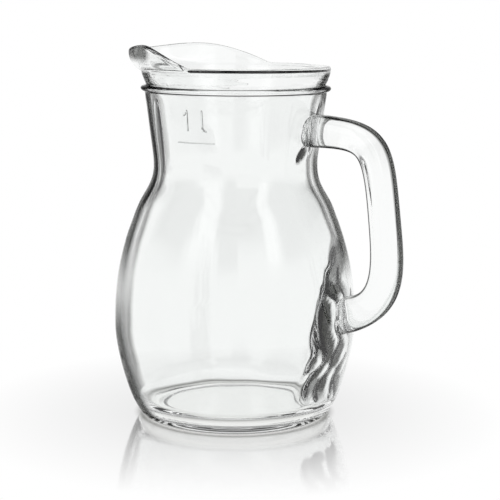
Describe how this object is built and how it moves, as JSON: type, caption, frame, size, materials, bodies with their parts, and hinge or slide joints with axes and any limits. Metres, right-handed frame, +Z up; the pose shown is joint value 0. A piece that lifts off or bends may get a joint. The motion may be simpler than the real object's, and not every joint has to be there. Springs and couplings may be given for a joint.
{
  "type": "water jug",
  "caption": "Clear pressed-and-blown glass water jug with a bellied body, beaded collar, drawn-out pouring lip and fused loop handle.",
  "frame": {"origin": "on the vessel's axis, in the plane of the foot ring that the jug stands on", "axes": "+Z up along the vessel's axis, +X towards the handle, -X towards the pouring lip, capacity mark on -Y"},
  "size_m": [0.1462, 0.1188, 0.1815],
  "materials": {
    "clear_glass": "fire-polished, clear, very faint grey-green in thick places",
    "handle_glass": "fire-polished, clear, solid drawn bar",
    "raised_mark": "raised relief of the same clear glass"
  },
  "bodies": {
    "root": {"vessel": "clear_glass", "handle": "handle_glass", "capacity_mark": "raised_mark"}
  },
  "joints": []
}
